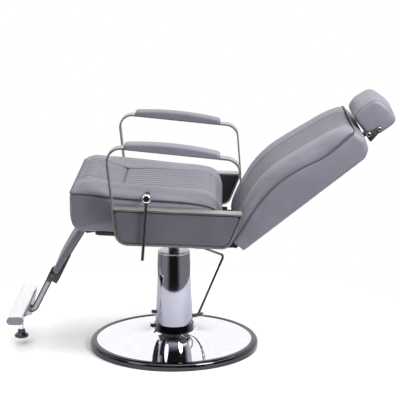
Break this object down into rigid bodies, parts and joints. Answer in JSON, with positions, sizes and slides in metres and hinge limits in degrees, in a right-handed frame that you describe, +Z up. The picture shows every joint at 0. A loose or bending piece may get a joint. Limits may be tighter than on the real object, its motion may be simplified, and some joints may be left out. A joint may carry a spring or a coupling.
{
  "type": "barber chair",
  "caption": "Reclining hydraulic barber chair with round base, padded seat and back, flat-bar armrests, headrest, leg rest and flip-down footrest.",
  "frame": {"origin": "centre of the round base, on the floor", "axes": "+Z up, the chair faces -Y, the sitter's left is +X; stored at its lowest, fully reclined"},
  "size_m": [0.722, 1.332, 0.9093],
  "materials": {
    "grey_leather": "satin",
    "polished_chrome": "polished",
    "dark_chrome": "polished",
    "arm_steel": "satin",
    "bright_steel": "satin",
    "ram_steel": "polished",
    "dark_steel": "satin",
    "black_steel": "satin",
    "plywood": "matte",
    "black_board": "matte",
    "white_aluminium": "satin",
    "grey_plastic": "matte",
    "black_rubber": "matte"
  },
  "bodies": {
    "base": {"base_dome": "polished_chrome", "base_rim": "dark_chrome", "base_weight": "black_steel", "flange_bolts": "bright_steel", "pump_cylinder": "black_steel", "pump_block": "black_steel", "pump_collar": "dark_chrome", "pump_cover": "polished_chrome", "cover_cap": "bright_steel", "cover_screws": "black_steel", "ram_gland": "black_steel"},
    "lift_ram": {"ram": "ram_steel"},
    "plunger": {"pump_plunger": "ram_steel"},
    "pump_lever": {"pump_lever_stub": "dark_chrome", "pump_lever_rod": "dark_chrome", "pump_lever_screw": "bright_steel"},
    "seat": {"seat_socket": "black_steel", "socket_bolts": "bright_steel", "seat_rails": "black_steel", "seat_cross_tubes": "black_steel", "seat_board": "plywood", "seat_cushion": "grey_leather", "arm_frame_left": "arm_steel", "arm_frame_right": "arm_steel", "panel_board_left": "black_board", "panel_board_right": "black_board", "side_panel_left": "grey_leather", "side_panel_right": "grey_leather", "panel_bolts": "bright_steel", "arm_pad_left": "grey_leather", "arm_pad_right": "grey_leather", "arm_pad_screws": "bright_steel", "lever_bush": "black_steel", "gas_cylinder": "black_steel", "hinge_brackets": "black_steel", "hinge_pins": "bright_steel", "leg_hinge_bracket": "black_steel"},
    "recline_lever": {"recline_hub": "polished_chrome", "recline_rod": "dark_chrome"},
    "spring_rod": {"gas_rod": "ram_steel"},
    "back": {"back_tube": "black_steel", "back_bars": "black_steel", "back_board": "plywood", "back_shell": "grey_leather", "back_cushion": "grey_leather", "headrest_guide": "black_steel"},
    "headrest_carrier": {"headrest_post": "dark_steel", "headrest_clamp_screws": "bright_steel"},
    "headrest": {"headrest_cushion": "grey_leather", "headrest_pivot_screws": "bright_steel"},
    "leg_rest": {"leg_plate": "dark_steel", "leg_pad": "grey_leather", "footrest_bolt": "bright_steel"},
    "footrest": {"footrest_arm": "dark_chrome", "footrest_wings": "black_steel", "footrest_bumper": "black_rubber", "footplate": "white_aluminium", "footplate_caps": "grey_plastic", "foot_post": "dark_steel", "rubber_foot": "black_rubber"}
  },
  "joints": [
    {"name": "seat_lift", "type": "slide", "parent": "base", "child": "lift_ram", "axis": [0, 0, 1], "range_m": [0, 0.15]},
    {"name": "seat_swivel", "type": "hinge", "parent": "lift_ram", "child": "seat", "pos_m": [0, 0, 0.4], "axis": [0, 0, 1], "continuous": true},
    {"name": "pump_lever_press", "type": "hinge", "parent": "base", "child": "pump_lever", "pos_m": [-0.02918, 0.0406, 0.09], "axis": [-0.8121, -0.5835, 0], "range_deg": [0, 22], "stiffness_Nm_per_rad": 12, "springref_deg": -20.05},
    {"name": "plunger_stroke", "type": "slide", "parent": "base", "child": "plunger", "axis": [0, 0, -1], "range_m": [0, 0.008]},
    {"name": "recline_lever_swing", "type": "hinge", "parent": "seat", "child": "recline_lever", "pos_m": [0.36, -0.077, 0.614], "axis": [1, 0, 0], "range_deg": [0, 25], "stiffness_Nm_per_rad": 2, "springref_deg": -17.19},
    {"name": "back_recline", "type": "hinge", "parent": "seat", "child": "back", "pos_m": [0, 0.21521, 0.45003], "axis": [1, 0, 0], "range_deg": [0, 36]},
    {"name": "gas_spring_stroke", "type": "slide", "parent": "seat", "child": "spring_rod", "axis": [0, 1, 0], "range_m": [0, 0.0405]},
    {"name": "headrest_height", "type": "slide", "parent": "back", "child": "headrest_carrier", "axis": [0, 0.7829, 0.6221], "range_m": [0, 0.09]},
    {"name": "headrest_tilt", "type": "hinge", "parent": "headrest_carrier", "child": "headrest", "pos_m": [0, 0.66393, 0.78869], "axis": [1, 0, 0], "range_deg": [-20, 0]},
    {"name": "leg_rest_lift", "type": "hinge", "parent": "seat", "child": "leg_rest", "pos_m": [0, -0.2965, 0.4377], "axis": [-1, 0, 0], "range_deg": [0, 50]},
    {"name": "footrest_flip", "type": "hinge", "parent": "leg_rest", "child": "footrest", "pos_m": [0, -0.43009, 0.25824], "axis": [-1, 0, 0], "range_deg": [0, 90]}
  ],
  "couplings": [
    {"joint": "gas_spring_stroke", "follows": "back_recline", "m_per_rad": 0.0638},
    {"joint": "plunger_stroke", "follows": "pump_lever_press", "m_per_rad": 0.0195}
  ]
}
